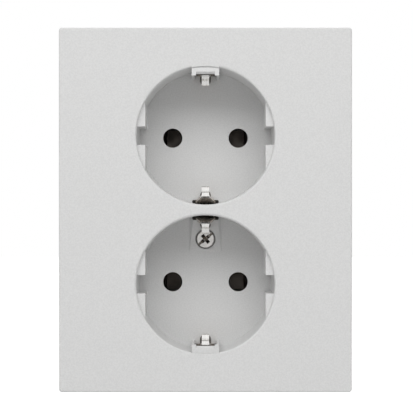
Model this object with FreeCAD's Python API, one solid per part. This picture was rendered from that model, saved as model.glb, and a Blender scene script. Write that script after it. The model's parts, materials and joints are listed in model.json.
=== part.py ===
import FreeCAD, Part
import math
import os

# Double earthed wall socket, in millimetres.
# X runs right, Y runs into the wall, Z runs up. The wall plane is y = 0 and the
# origin is the centre of the two box screws, midway between the two wells.

V = FreeCAD.Vector

# Cover
PLATE_THICKNESS = 2.4
SIDE_WALL = 2.0
FRAME_SIDE_GAP = 3.5
BAR_END_GAP = 2.5
FLOOR_BACK_GAP = 1.5
CORNER_RADIUS = 0.8
EDGE_ROUNDING = 0.5
RIB_THICKNESS = 1.2
RIB_DEPTH = 4.0
RIB_X = 10.1

# Wells
WELL_RADIUS = 19.4
WELL_DRAFT = 0.3
WELL_DEPTH = 17.5
WELL_WEB = 2.9
RIM_ROUNDING = 0.6
CUP_WALL = 1.6
FLOOR_THICKNESS = 2.0
LEDGE_WIDTH = 2.5
LEDGE_RECESS = 1.2
NOTCH_HEIGHT = 5.2
PIN_PITCH = 19.0
PIN_HOLE_RADIUS = 2.8
GATE_MARK_RADIUS = 0.55
GATE_MARK_DEPTH = 0.15
GATE_MARK_OFFSET = 0.75

# Earth fingers: insets from the well's rim, depths behind the face
FINGER_THICKNESS = 0.6
FINGER_FOOT_WIDTH = 5.75
FINGER_TIP_WIDTH = 2.1
FINGER_FOOT_INSET = 0.45
FINGER_TOP_INSET = 2.7
FINGER_TOP_DEPTH = 1.7
FINGER_CREST_INSET = 3.3
FINGER_CREST_DEPTH = 2.3
FINGER_KNEE_INSET = 3.65
FINGER_KNEE_DEPTH = 4.5
FINGER_NOSE_INSET = 4.95
FINGER_NOSE_DEPTH = 5.05
FINGER_TAIL_INSET = 3.1
FINGER_BEND = 0.35
FINGER_TAPER_START_DEPTH = 3.2
FOOT_LENGTH = 5.9

# Openings for the earth fingers
FINGER_SIDE_GAP = 0.275
SLOT_INSET = 1.45
SLOT_END_ROUNDING = 0.4
STEM_SIDE_GAP = 0.5
STEM_INSET = 4.3

# Bridge in front of the outer earth fingers
BRIDGE_INSET = 2.6
BRIDGE_OVERLAP = 0.8
BRIDGE_INNER_RECESS = 0.05
BRIDGE_OUTER_RECESS = 0.55
BRIDGE_SKIN = 1.2
BRIDGE_CHEEK = 0.7
BRIDGE_NOTCH_WIDTH = 5.2
BRIDGE_NOTCH_DEPTH = 0.45
BRIDGE_NOTCH_CHAMFER = 0.8

# Earth bar, its terminal tab and the rivets
BAR_THICKNESS = 1.2
BAR_HALF_WIDTH = 5.5
BAR_END_MARGIN = 0.8
BAR_END_ROUNDING = 2.75
TAB_THICKNESS = 0.8
TAB_SIDE_GAP = 0.5
TAB_NECK_HALF_HEIGHT = 4.0
RIVET_RADIUS = 1.5
RIVET_HEAD_RADIUS = 2.4
RIVET_HEAD_HEIGHT = 0.7
FOOT_RIVET_REACH = 3.4
FOOT_RIVET_RADIUS = 1.0
FOOT_RIVET_HEAD_RADIUS = 1.45

# Steel support frame
FRAME_THICKNESS = 1.2
FRAME_EDGE = 5.5
FRAME_CORNER = 4.0
FRAME_RIVET_GAP = 3.3
FRAME_RIVET_EDGE = 3.2
BOX_SCREW_SPACING = 60.0
BOX_SCREW_HOLE_RADIUS = 2.0
BOX_SLOT_LENGTH = 8.0
BOX_SLOT_ANGLES = (38.0, 142.0, 218.0, 322.0)

# Base housing and rear cover
HOUSING_BACK = 18.0
HOUSING_COVER_GAP = 0.2
HOUSING_SIDE_WALL = 2.4
HOUSING_END_WALL = 4.6
GUIDE_HOLE_RADIUS = 3.2
CHAMBER_FRONT_GAP = 0.6
CHAMBER_SIDE_GAP = 0.1
CHAMBER_END_GAP = 0.35
EARTH_CHAMBER_FRONT_GAP = 1.0
EARTH_CHAMBER_SIDE_GAP = 0.6
REAR_COVER_THICKNESS = 4.0
REAR_SCREW_Z = 16.0
REAR_SCREW_RADIUS = 1.4
REAR_SCREW_LENGTH = 9.0
REAR_SCREW_HEAD_RADIUS = 2.5
REAR_SCREW_HEAD_HEIGHT = 1.5

# Terminals: depths in front of the housing's back
TERMINAL_DEPTH = 9.5
WIRE_HOLE_RADIUS = 1.7
WIRE_HOLE_FUNNEL = 0.7
WIRE_Z = 7.0
CLAMP_PLATE_GAP = 0.7
LEVER_HALF_HEIGHT = 2.5
LEVER_COLLAR = 1.1
LEVER_COLLAR_THICKNESS = 1.2
LEVER_STAND_OUT = 2.0
LEVER_FOOT_LENGTH = 3.4
LEVER_GRIP_GROOVES = 3
LEVER_GRIP_DEPTH = 0.35
SPRING_THICKNESS = 0.4
SPRING_TIP_GAP = 1.4
SPRING_TIP_DEPTH = 5.6
SPRING_ROOT_Z = 3.6
SPRING_ROOT_DEPTH = 9.0
SPRING_CREST_Z = 1.5
SPRING_BEND = 0.6

# Live and neutral contacts
CONTACT_THICKNESS = 0.8
CONTACT_BACK_GAP = 2.0
TULIP_GAP = 4.6
TULIP_WIDTH = 6.4
TULIP_FRONT = 0.4
TULIP_FLARE = 0.4
TULIP_FLARE_LENGTH = 1.4
TULIP_BEND = 0.7
STRIP_FRONT = 7.0

# Cover screw, its boss and its brass nut
COVER_SCREW_INSET = 6.95
COVER_SCREW_RADIUS = 1.75
COVER_SCREW_HEAD_RADIUS = 2.7
COVER_SCREW_HEAD_HEIGHT = 1.7
COVER_SCREW_SEAT_DEPTH = 1.2
COVER_SCREW_END_GAP = 0.9
COVER_SCREW_SLOT_ANGLE = 40.0
SCREW_SLOT_WIDTH = 0.7
SCREW_SLOT_DEPTH = 0.9
CROSS_WIDTH = 1.0
CROSS_LENGTH = 3.0
CROSS_DEPTH = 1.8
CROSS_TAPER = 0.8
HEAD_ROUNDING = 0.5
BOSS_HALF_WIDTH = 3.3
BOSS_SIDE_SLOPE = 1.3
BOSS_HEIGHT = 1.6
BOSS_END_INSET = 10.8
NUT_SLEEVE_RADIUS = 3.1
NUT_SLEEVE_LENGTH = 7.0

# Spreading claws
CLAW_SCREW_RADIUS = 2.0
CLAW_SCREW_END = 17.0
CLAW_SCREW_HEAD_RADIUS = 3.4
CLAW_SCREW_HEAD_HEIGHT = 2.1
CLAW_SCREW_COLLAR_GAP = 0.3
CLAW_SCREW_COLLAR_THICKNESS = 1.0
CLAW_NUT_SIZE = 6.8
CLAW_NUT_THICKNESS = 3.0
CLAW_NUT_GAP = 0.6
CLAW_THICKNESS = 1.2
CLAW_FORK_Y = 11.0
CLAW_HALF_WIDTH = 5.5
CLAW_TIP_Y = 5.6
CLAW_TOOTH = 1.3
CLAW_TOOTH_COUNT = 4
CLAW_ANGLE = 35.0
RAMP_Y = 10.0
CHEEK_THICKNESS = 1.6
CHEEK_FRONT = 0.2
CHEEK_BACK_GAP = 0.8

# Clearances
RUNNING_CLEARANCE = 0.05
SLIDING_CLEARANCE = 0.1
HOLE_CLEARANCE = 0.2
FIT_CLEARANCE = 0.15
SEAT_GAP = 0.02
PAST = 1.0
ALIGNED = 1e-6

# Depths that follow from the sizes above
FRAME_FRONT_Y = -FRAME_THICKNESS
BAR_FRONT_Y = FRAME_FRONT_Y - BAR_THICKNESS
FOOT_FRONT_Y = BAR_FRONT_Y - FINGER_THICKNESS
FLOOR_BACK_Y = FOOT_FRONT_Y - FLOOR_BACK_GAP
FLOOR_Y = FLOOR_BACK_Y - FLOOR_THICKNESS
FACE_Y = FLOOR_Y - WELL_DEPTH
HOUSING_FRONT_Y = FLOOR_BACK_Y + HOUSING_COVER_GAP
HOUSING_END_Y = HOUSING_BACK + REAR_COVER_THICKNESS
CHEEK_BACK = HOUSING_BACK - CHEEK_BACK_GAP
TERMINAL_FRONT = HOUSING_BACK - TERMINAL_DEPTH
CONTACT_BACK = HOUSING_BACK - CONTACT_BACK_GAP

# Wells and fingers
WELL_FLOOR_RADIUS = WELL_RADIUS - WELL_DRAFT
WELL_Z = WELL_RADIUS + WELL_WEB / 2
PIN_X = PIN_PITCH / 2
LEDGE_HALF_WIDTH = WELL_RADIUS - LEDGE_WIDTH
FINGER_FOOT_RADIUS = WELL_RADIUS - FINGER_FOOT_INSET
FINGER_TOP_RADIUS = WELL_RADIUS - FINGER_TOP_INSET
FINGER_CREST_RADIUS = WELL_RADIUS - FINGER_CREST_INSET
FINGER_KNEE_RADIUS = WELL_RADIUS - FINGER_KNEE_INSET
FINGER_NOSE_RADIUS = WELL_RADIUS - FINGER_NOSE_INSET
FINGER_TAIL_RADIUS = WELL_RADIUS - FINGER_TAIL_INSET
SLOT_INNER = WELL_RADIUS - SLOT_INSET
SLOT_OUTER = FINGER_FOOT_RADIUS + FINGER_THICKNESS / 2 + RUNNING_CLEARANCE
CHANNEL_HALF = FINGER_FOOT_WIDTH / 2 + FINGER_SIDE_GAP
SLOT_HALF = CHANNEL_HALF + BRIDGE_CHEEK
STEM_WIDTH = FINGER_TIP_WIDTH + 2 * STEM_SIDE_GAP
STEM_REACH = WELL_RADIUS - STEM_INSET
BRIDGE_INNER = WELL_RADIUS - BRIDGE_INSET
BRIDGE_OUTER = WELL_RADIUS + BRIDGE_OVERLAP
COVER_SCREW_Z = WELL_RADIUS - COVER_SCREW_INSET - WELL_Z
COVER_SCREW_SEAT_Y = FLOOR_Y + COVER_SCREW_SEAT_DEPTH
BOSS_END_Z = WELL_RADIUS - BOSS_END_INSET - WELL_Z

# Terminals, chambers and the housing round them
SPRING_WIDTH = TULIP_GAP - 2 * SLIDING_CLEARANCE
LEVER_HALF_WIDTH = SPRING_WIDTH / 2 - SLIDING_CLEARANCE
CLAMP_PLATE_Z = WIRE_Z + WIRE_HOLE_RADIUS + CLAMP_PLATE_GAP
SPRING_TIP_Z = CLAMP_PLATE_Z - SPRING_TIP_GAP
TAB_X = SPRING_WIDTH / 2 + TAB_SIDE_GAP
TAB_HALF_HEIGHT = CLAMP_PLATE_Z + TAB_THICKNESS
CHAMBER_REACH = TULIP_GAP / 2 + CONTACT_THICKNESS + TULIP_FLARE + CHAMBER_SIDE_GAP
CHAMBER_INNER = PIN_X - CHAMBER_REACH
CHAMBER_OUTER = PIN_X + CHAMBER_REACH
CHAMBER_HALF_HEIGHT = WELL_Z + TULIP_WIDTH / 2 + CHAMBER_END_GAP
CHAMBER_FRONT = TULIP_FRONT - CHAMBER_FRONT_GAP
EARTH_CHAMBER_FRONT = TERMINAL_FRONT - EARTH_CHAMBER_FRONT_GAP
EARTH_CHAMBER_HALF_WIDTH = TAB_X + TAB_THICKNESS + EARTH_CHAMBER_SIDE_GAP
EARTH_CHAMBER_HALF_HEIGHT = TAB_HALF_HEIGHT + HOLE_CLEARANCE
HOUSING_HALF_WIDTH = CHAMBER_OUTER + HOUSING_SIDE_WALL
HOUSING_RADIUS = CHAMBER_HALF_HEIGHT + HOUSING_END_WALL

# Claws beside the housing
CLAW_SCREW_X = HOUSING_HALF_WIDTH + CLAW_NUT_GAP + CLAW_NUT_SIZE / 2
RAMP_X = CLAW_SCREW_X + CLAW_NUT_SIZE / 2 + CLAW_NUT_GAP
RAMP_SLOPE = math.tan(math.radians(CLAW_ANGLE))
CHEEK_INNER_Z = CLAW_NUT_SIZE / 2 + SLIDING_CLEARANCE
CLAW_SCREW_COLLAR_RADIUS = CHEEK_INNER_Z - CLAW_SCREW_COLLAR_GAP

# Frame, bar and the cover that goes over them
FRAME_RIVET_Z = HOUSING_RADIUS + FRAME_RIVET_GAP
FRAME_HALF_WIDTH = BOX_SCREW_SPACING / 2 + FRAME_EDGE
FRAME_HALF_HEIGHT = FRAME_RIVET_Z + FRAME_RIVET_EDGE
BAR_HALF_LENGTH = WELL_Z + FINGER_FOOT_RADIUS + FOOT_LENGTH + BAR_END_MARGIN
PLATE_HALF_WIDTH = FRAME_HALF_WIDTH + FRAME_SIDE_GAP + SIDE_WALL
PLATE_HALF_HEIGHT = BAR_HALF_LENGTH + BAR_END_GAP + SIDE_WALL


def block(x0, x1, y0, y1, z0, z1):
    """A box between two corners."""
    return Part.makeBox(x1 - x0, y1 - y0, z1 - z0, V(x0, y0, z0))


def rod(x, z, radius, y0, y1):
    """A round bar along Y."""
    return Part.makeCylinder(radius, y1 - y0, V(x, y0, z), V(0, 1, 0))


def fused(shapes):
    """All shapes as one solid, with its flat faces merged."""
    whole = shapes[0].multiFuse(shapes[1:])
    return whole.removeSplitter()


def prism(points, plane, low, high):
    """A closed outline, swept from low to high.

    Plane "xy" has points (x, y) and is swept along Z, "zy" has points (z, y) and
    is swept along X, and "xz" has points (x, z) and is swept along Y.
    """
    place = {
        "xy": (lambda u, v: V(u, v, low), V(0, 0, high - low)),
        "zy": (lambda u, v: V(low, v, u), V(high - low, 0, 0)),
        "xz": (lambda u, v: V(u, low, v), V(0, high - low, 0)),
    }
    to_space, sweep = place[plane]
    corners = [to_space(u, v) for u, v in points]
    return Part.Face(Part.makePolygon(corners + corners[:1])).extrude(sweep)


def bent_strip(points, thickness, bend, plane, low, high):
    """A strip of sheet metal that follows points, with rounded bends.

    bend is the centre line's radius at each inner point.
    """
    half = thickness / 2
    sides = {1: [], -1: []}
    runs = [(V(*b, 0) - V(*a, 0)).normalize() for a, b in zip(points, points[1:])]
    start = V(*points[0], 0)
    for i, run in enumerate(runs):
        normal = V(-run.y, run.x, 0)
        last = i == len(runs) - 1
        end = V(*points[i + 1], 0)
        if not last:
            following = runs[i + 1]
            turn = math.atan2(run.cross(following).z, run.dot(following))
            back = bend * math.tan(abs(turn) / 2)
            end = end - run * back
        for side, edges in sides.items():
            shift = normal * (side * half)
            edges.append(Part.LineSegment(start + shift, end + shift).toShape())
        if last:
            break
        hand = math.copysign(1, turn)
        centre = end + normal * (hand * bend)
        middle = (run * math.sin(abs(turn) / 2)) - normal * (hand * math.cos(turn / 2))
        next_normal = V(-following.y, following.x, 0)
        start = centre - next_normal * (hand * bend)
        for side, edges in sides.items():
            radius = bend - hand * side * half
            first = centre - normal * (hand * radius)
            final = centre - next_normal * (hand * radius)
            edges.append(Part.Arc(first, centre + middle * radius, final).toShape())
    left, right = sides[1], sides[-1]
    tail = Part.LineSegment(left[-1].lastVertex().Point, right[-1].lastVertex().Point)
    head = Part.LineSegment(right[0].firstVertex().Point, left[0].firstVertex().Point)
    wire = Part.Wire(Part.__sortEdges__(left + right + [tail.toShape(), head.toShape()]))
    return swept_profile(wire, plane, low, high)


def swept_profile(wire, plane, low, high):
    """A flat outline drawn in (u, v), placed in its plane and swept."""
    place = {
        "xy": (V(1, 0, 0), V(0, 1, 0), V(0, 0, 1)),
        "zy": (V(0, 0, 1), V(0, 1, 0), V(1, 0, 0)),
    }
    across, along, sweep = place[plane]
    matrix = FreeCAD.Matrix(
        across.x, along.x, sweep.x, low * sweep.x,
        across.y, along.y, sweep.y, low * sweep.y,
        across.z, along.z, sweep.z, low * sweep.z,
        0, 0, 0, 1,
    )
    face = Part.Face(wire.transformGeometry(matrix))
    return face.extrude(sweep * (high - low))


def fillet_edges(shape, radius, wanted):
    """Rounds the edges that wanted(edge) picks."""
    edges = [edge for edge in shape.Edges if wanted(edge)]
    return shape.makeFillet(radius, edges)


def runs_along_y(edge):
    """True for a straight edge that is parallel to Y."""
    box = edge.BoundBox
    return box.YLength > ALIGNED and box.XLength < ALIGNED and box.ZLength < ALIGNED


def lies_at_y(y):
    """A test for edges that lie in the plane at y."""
    def wanted(edge):
        box = edge.BoundBox
        return abs(box.YMin - y) < ALIGNED and abs(box.YMax - y) < ALIGNED
    return wanted


def rounded_plate(half_x, half_z, radius, y0, y1):
    """A plate across Y with rounded corners."""
    plate = block(-half_x, half_x, y0, y1, -half_z, half_z)
    return fillet_edges(plate, radius, runs_along_y)


def across_well(side, reach):
    """Z of a point that lies reach away from a well's centre, away from the origin.

    side is 1 for the top well and -1 for the bottom one. A negative reach is
    towards the origin.
    """
    return side * (WELL_Z + reach)


def span(a, b):
    """Two values in rising order."""
    return min(a, b), max(a, b)


def well_cone(side):
    """The round hollow of a well, which narrows towards its floor."""
    base = V(0, FACE_Y, side * WELL_Z)
    return Part.makeCone(WELL_RADIUS, WELL_FLOOR_RADIUS, WELL_DEPTH, base, V(0, 1, 0))


def well_radius_at(depth):
    """A well's radius at a depth behind the face."""
    return WELL_RADIUS - (WELL_RADIUS - WELL_FLOOR_RADIUS) * depth / WELL_DEPTH


def well_hollow(side):
    """The hollow of a well: round, with flat ledges left and right."""
    cone = well_cone(side)
    far = WELL_RADIUS + PAST
    ledges = []
    for hand in (-1, 1):
        x0, x1 = span(hand * LEDGE_HALF_WIDTH, hand * far)
        z = side * WELL_Z
        top = FACE_Y + LEDGE_RECESS
        for z0, z1 in ((z - far, z - NOTCH_HEIGHT / 2), (z + NOTCH_HEIGHT / 2, z + far)):
            ledges.append(block(x0, x1, top, FLOOR_Y + PAST, z0, z1))
    return cone.cut(ledges)


def rim_rounding(side):
    """What is removed to round the edge between the face and a well, up to its bridge."""
    wall = well_radius_at(RIM_ROUNDING)
    rim = wall + RIM_ROUNDING
    centre = V(rim, FACE_Y + RIM_ROUNDING, 0)
    diagonal = RIM_ROUNDING / math.sqrt(2)
    corners = [
        V(wall - PAST, centre.y, 0),
        V(wall - PAST, FACE_Y - PAST, 0),
        V(rim, FACE_Y - PAST, 0),
        V(rim, FACE_Y, 0),
    ]
    edges = [Part.LineSegment(a, b).toShape() for a, b in zip(corners, corners[1:])]
    low = V(wall, centre.y, 0)
    edges.append(Part.Arc(corners[-1], centre - V(diagonal, diagonal, 0), low).toShape())
    edges.append(Part.LineSegment(low, corners[0]).toShape())
    ring = Part.Face(Part.Wire(edges)).revolve(V(0, 0, 0), V(0, 1, 0), 360)
    ring.translate(V(0, 0, side * WELL_Z))
    z0, z1 = span(across_well(side, BRIDGE_INNER), across_well(side, rim + PAST))
    at_bridge = block(-SLOT_HALF, SLOT_HALF, FACE_Y - 2 * PAST, FACE_Y + 2 * PAST, z0, z1)
    return ring.cut(at_bridge)


def finger_slot(side, inward):
    """The T-shaped opening of an earth finger in a well's floor.

    inward is -1 for the finger nearer the origin, whose leg also needs a groove up the
    well's wall, and 1 for the outer one, which stands behind its bridge.
    """
    front = FLOOR_Y - BOSS_HEIGHT - PAST
    back = FLOOR_BACK_Y + PAST
    arc_front = front if inward > 0 else FACE_Y + RIM_ROUNDING
    z0, z1 = span(across_well(side, inward * SLOT_INNER), across_well(side, inward * WELL_RADIUS))
    arc = block(-SLOT_HALF, SLOT_HALF, arc_front, back, z0, z1)
    arc = arc.common(rod(0, side * WELL_Z, SLOT_OUTER, FACE_Y, back))
    arc = fillet_edges(arc, SLOT_END_ROUNDING, runs_along_y)
    stem_half = STEM_WIDTH / 2
    stem_centre = across_well(side, inward * (STEM_REACH + stem_half))
    z0, z1 = span(stem_centre, across_well(side, inward * (SLOT_INNER + SLOT_END_ROUNDING)))
    stem = block(-stem_half, stem_half, front, back, z0, z1)
    return fused([arc, stem, rod(0, stem_centre, stem_half, front, back)])


def finger_bridge(side):
    """The block in front of an outer earth finger, joined to the well's wall."""
    outline = [
        (across_well(side, BRIDGE_INNER), FACE_Y + BRIDGE_INNER_RECESS),
        (across_well(side, BRIDGE_OUTER), FACE_Y + BRIDGE_OUTER_RECESS),
        (across_well(side, BRIDGE_OUTER), FLOOR_Y),
        (across_well(side, BRIDGE_INNER), FLOOR_Y),
    ]
    return prism(outline, "zy", -SLOT_HALF, SLOT_HALF)


def bridge_channel(side):
    """The room behind the bridge in which the outer finger stands."""
    outline = [
        (across_well(side, BRIDGE_INNER - PAST), FACE_Y + BRIDGE_INNER_RECESS + BRIDGE_SKIN),
        (across_well(side, SLOT_OUTER), FACE_Y + BRIDGE_OUTER_RECESS + BRIDGE_SKIN),
        (across_well(side, SLOT_OUTER), FLOOR_Y + PAST),
        (across_well(side, BRIDGE_INNER - PAST), FLOOR_Y + PAST),
    ]
    channel = prism(outline, "zy", -CHANNEL_HALF, CHANNEL_HALF)
    floor_guard = block(
        -SLOT_HALF, SLOT_HALF, FLOOR_Y, FLOOR_Y + 2 * PAST,
        *span(across_well(side, BRIDGE_INNER - 2 * PAST), across_well(side, BRIDGE_OUTER)),
    )
    notch_half = BRIDGE_NOTCH_WIDTH / 2
    notch_end = BRIDGE_INNER + BRIDGE_NOTCH_DEPTH
    notch = prism([
        (across_well(side, BRIDGE_INNER - PAST), FACE_Y),
        (across_well(side, notch_end + BRIDGE_NOTCH_CHAMFER), FACE_Y),
        (across_well(side, notch_end), FACE_Y + BRIDGE_NOTCH_CHAMFER),
        (across_well(side, notch_end), FLOOR_Y),
        (across_well(side, BRIDGE_INNER - PAST), FLOOR_Y),
    ], "zy", -notch_half, notch_half)
    return fused([channel.cut(floor_guard), notch])


def screw_boss():
    """The land round the cover screw, which rises towards the wall above it."""
    wall_z = SLOT_OUTER + PAST - WELL_Z
    top = FLOOR_Y - BOSS_HEIGHT
    root = FLOOR_Y + PAST
    half = BOSS_HALF_WIDTH + BOSS_SIDE_SLOPE
    ramp = [(BOSS_END_Z, FLOOR_Y), (wall_z, top), (wall_z, root), (BOSS_END_Z, root)]
    section = [
        (-half, root), (-half, FLOOR_Y), (-BOSS_HALF_WIDTH, top),
        (BOSS_HALF_WIDTH, top), (half, FLOOR_Y), (half, root),
    ]
    land = prism(section, "xy", BOSS_END_Z, wall_z)
    return land.common(prism(ramp, "zy", -half, half))


def cover_ribs():
    """Stiffening ribs between the cups and the side walls."""
    half_x = PLATE_HALF_WIDTH - SIDE_WALL / 2
    half_z = PLATE_HALF_HEIGHT - SIDE_WALL / 2
    half = RIB_THICKNESS / 2
    front = FACE_Y + PLATE_THICKNESS / 2
    back = front + RIB_DEPTH
    ribs = []
    for side in (-1, 1):
        z = side * WELL_Z
        ribs.append(block(-half_x, half_x, front, back, z - half, z + half))
        for x in (-RIB_X, RIB_X):
            z0, z1 = span(z, side * half_z)
            ribs.append(block(x - half, x + half, front, back, z0, z1))
    return ribs


def cover():
    """The one-piece moulded cover with both wells."""
    outer = rounded_plate(PLATE_HALF_WIDTH, PLATE_HALF_HEIGHT, CORNER_RADIUS, FACE_Y, 0)
    outer = fillet_edges(outer, EDGE_ROUNDING, lies_at_y(FACE_Y))
    hollow = rounded_plate(
        PLATE_HALF_WIDTH - SIDE_WALL, PLATE_HALF_HEIGHT - SIDE_WALL, CORNER_RADIUS,
        FACE_Y + PLATE_THICKNESS, PAST,
    )
    cup_radius = WELL_RADIUS + CUP_WALL
    cup_front = FACE_Y + PLATE_THICKNESS / 2
    cups = [rod(0, side * WELL_Z, cup_radius, cup_front, FLOOR_BACK_Y) for side in (-1, 1)]
    shell = fused([outer.cut(hollow)] + cups + cover_ribs())
    shell = shell.cut([well_hollow(side) for side in (-1, 1)])
    shell = shell.cut([rim_rounding(side) for side in (-1, 1)])
    shell = fused([shell, screw_boss()] + [finger_bridge(side) for side in (-1, 1)])
    cuts = [bridge_channel(side) for side in (-1, 1)]
    for side in (-1, 1):
        cuts += [finger_slot(side, inward) for inward in (-1, 1)]
        for x in (-PIN_X, PIN_X):
            cuts.append(rod(x, side * WELL_Z, PIN_HOLE_RADIUS, FLOOR_Y - PAST, FLOOR_BACK_Y + PAST))
    head_room = COVER_SCREW_HEAD_RADIUS + HOLE_CLEARANCE
    cuts.append(rod(
        0, COVER_SCREW_Z, head_room, FLOOR_Y - BOSS_HEIGHT - PAST, COVER_SCREW_SEAT_Y,
    ))
    shank_room = COVER_SCREW_RADIUS + HOLE_CLEARANCE
    cuts.append(rod(0, COVER_SCREW_Z, shank_room, FLOOR_Y, FLOOR_BACK_Y + PAST))
    gate_z = WELL_Z - GATE_MARK_OFFSET
    cuts.append(rod(0, gate_z, GATE_MARK_RADIUS, FLOOR_Y - PAST, FLOOR_Y + GATE_MARK_DEPTH))
    return shell.cut(cuts)


def cover_pieces():
    """The cover's moulding as its face, each well's wall and floor, and the walls."""
    whole = cover()
    split_y = FACE_Y + PLATE_THICKNESS
    half_x = PLATE_HALF_WIDTH + PAST
    half_z = PLATE_HALF_HEIGHT + PAST
    front = block(-half_x, half_x, FACE_Y - PAST, split_y, -half_z, half_z)
    pieces = {"cover_face": whole.common(front)}
    rest = whole.cut(front)
    boss_half = BOSS_HALF_WIDTH + BOSS_SIDE_SLOPE + PAST
    boss_room = block(
        -boss_half, boss_half, FLOOR_Y - BOSS_HEIGHT - PAST, FLOOR_Y, BOSS_END_Z - PAST, 0,
    )
    cups = []
    for name, side in (("top", 1), ("bottom", -1)):
        z0, z1 = span(0, side * half_z)
        cup = rod(0, side * WELL_Z, WELL_RADIUS + CUP_WALL, split_y - PAST, PAST)
        cup = cup.common(block(-half_x, half_x, split_y - PAST, PAST, z0, z1))
        floor_room = [block(-half_x, half_x, FLOOR_Y, PAST, z0, z1)]
        if side < 0:
            floor_room.append(boss_room)
        shell = rest.common(cup)
        pieces["well_wall_" + name] = shell.cut(floor_room)
        pieces["well_floor_" + name] = shell.common(fused(floor_room))
        cups.append(cup)
    pieces["cover_walls"] = rest.cut(cups)
    return pieces


def earth_finger(side, inward):
    """One sprung finger, from the back of the well's floor to its nose."""
    def place(reach, y):
        return across_well(side, inward * reach), y

    foot_y = BAR_FRONT_Y - FINGER_THICKNESS / 2
    top_y = FACE_Y + FINGER_TOP_DEPTH
    top = place(FINGER_TOP_RADIUS, top_y)
    half_foot = FINGER_FOOT_WIDTH / 2
    half_tip = FINGER_TIP_WIDTH / 2
    leg_points = [place(FINGER_FOOT_RADIUS, foot_y), top]
    leg = bent_strip(leg_points, FINGER_THICKNESS, FINGER_BEND, "zy", -half_foot, half_foot)
    taper_y = FACE_Y + FINGER_TAPER_START_DEPTH
    taper = [
        (-half_foot, foot_y + PAST), (-half_foot, FLOOR_Y), (-half_tip, taper_y),
        (-half_tip, FACE_Y), (half_tip, FACE_Y), (half_tip, taper_y),
        (half_foot, FLOOR_Y), (half_foot, foot_y + PAST),
    ]
    z0, z1 = span(across_well(side, 0), across_well(side, inward * WELL_RADIUS))
    leg = leg.common(prism(taper, "xy", z0, z1))
    hook_points = [
        place(*leg_point(top_y + FINGER_TOP_DEPTH)),
        top,
        place(FINGER_CREST_RADIUS, FACE_Y + FINGER_CREST_DEPTH),
        place(FINGER_KNEE_RADIUS, FACE_Y + FINGER_KNEE_DEPTH),
        place(FINGER_NOSE_RADIUS, FACE_Y + FINGER_NOSE_DEPTH),
        place(FINGER_TAIL_RADIUS, FLOOR_Y + FLOOR_THICKNESS / 2),
    ]
    hook = bent_strip(hook_points, FINGER_THICKNESS, FINGER_BEND, "zy", -half_tip, half_tip)
    return leg.fuse(hook)


def leg_point(y):
    """Radius and y of the outer leg's centre line at depth y."""
    foot_y = BAR_FRONT_Y - FINGER_THICKNESS / 2
    top_y = FACE_Y + FINGER_TOP_DEPTH
    share = (y - top_y) / (foot_y - top_y)
    return FINGER_TOP_RADIUS + share * (FINGER_FOOT_RADIUS - FINGER_TOP_RADIUS), y


def foot_rivet_z(side):
    """Z of the rivet that holds an outer earth contact."""
    return across_well(side, FINGER_FOOT_RADIUS + FOOT_RIVET_REACH)


def outer_earth_contact(side):
    """An outer finger with its foot, which lies on the bar away from the origin."""
    half = FINGER_FOOT_WIDTH / 2
    edge = across_well(side, FINGER_FOOT_RADIUS - FINGER_THICKNESS / 2)
    z0, z1 = span(edge, across_well(side, FINGER_FOOT_RADIUS + FOOT_LENGTH))
    foot = block(-half, half, FOOT_FRONT_Y, BAR_FRONT_Y, z0, z1)
    contact = fused([foot, earth_finger(side, 1)])
    return contact.cut(rod(0, foot_rivet_z(side), FOOT_RIVET_RADIUS, FOOT_FRONT_Y - PAST, PAST))


def middle_earth_contact():
    """The double finger between the wells, with one foot on the bar."""
    half = FINGER_FOOT_WIDTH / 2
    reach = WELL_Z - FINGER_FOOT_RADIUS + FINGER_THICKNESS / 2
    foot = block(-half, half, FOOT_FRONT_Y, BAR_FRONT_Y, -reach, reach)
    contact = fused([foot] + [earth_finger(side, -1) for side in (-1, 1)])
    return contact.cut(rod(0, 0, FOOT_RIVET_RADIUS, FOOT_FRONT_Y - PAST, PAST))


def rivet(z, radius, head_radius, front, back):
    """A round rivet through the bar, with a head at each end."""
    return fused([
        rod(0, z, radius, front, back),
        rod(0, z, head_radius, front - RIVET_HEAD_HEIGHT, front),
        rod(0, z, head_radius, back, back + RIVET_HEAD_HEIGHT),
    ])


def foot_rivets():
    """Rivets that hold the three earth contacts on the bar."""
    return Part.makeCompound([
        rivet(z, FOOT_RIVET_RADIUS, FOOT_RIVET_HEAD_RADIUS, FOOT_FRONT_Y, FRAME_FRONT_Y)
        for z in (foot_rivet_z(-1), 0, foot_rivet_z(1))
    ])


def frame_rivets():
    """Rivets that hold the bar on the support frame."""
    return Part.makeCompound([
        rivet(z, RIVET_RADIUS, RIVET_HEAD_RADIUS, BAR_FRONT_Y, 0)
        for z in (-FRAME_RIVET_Z, FRAME_RIVET_Z)
    ])


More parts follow.
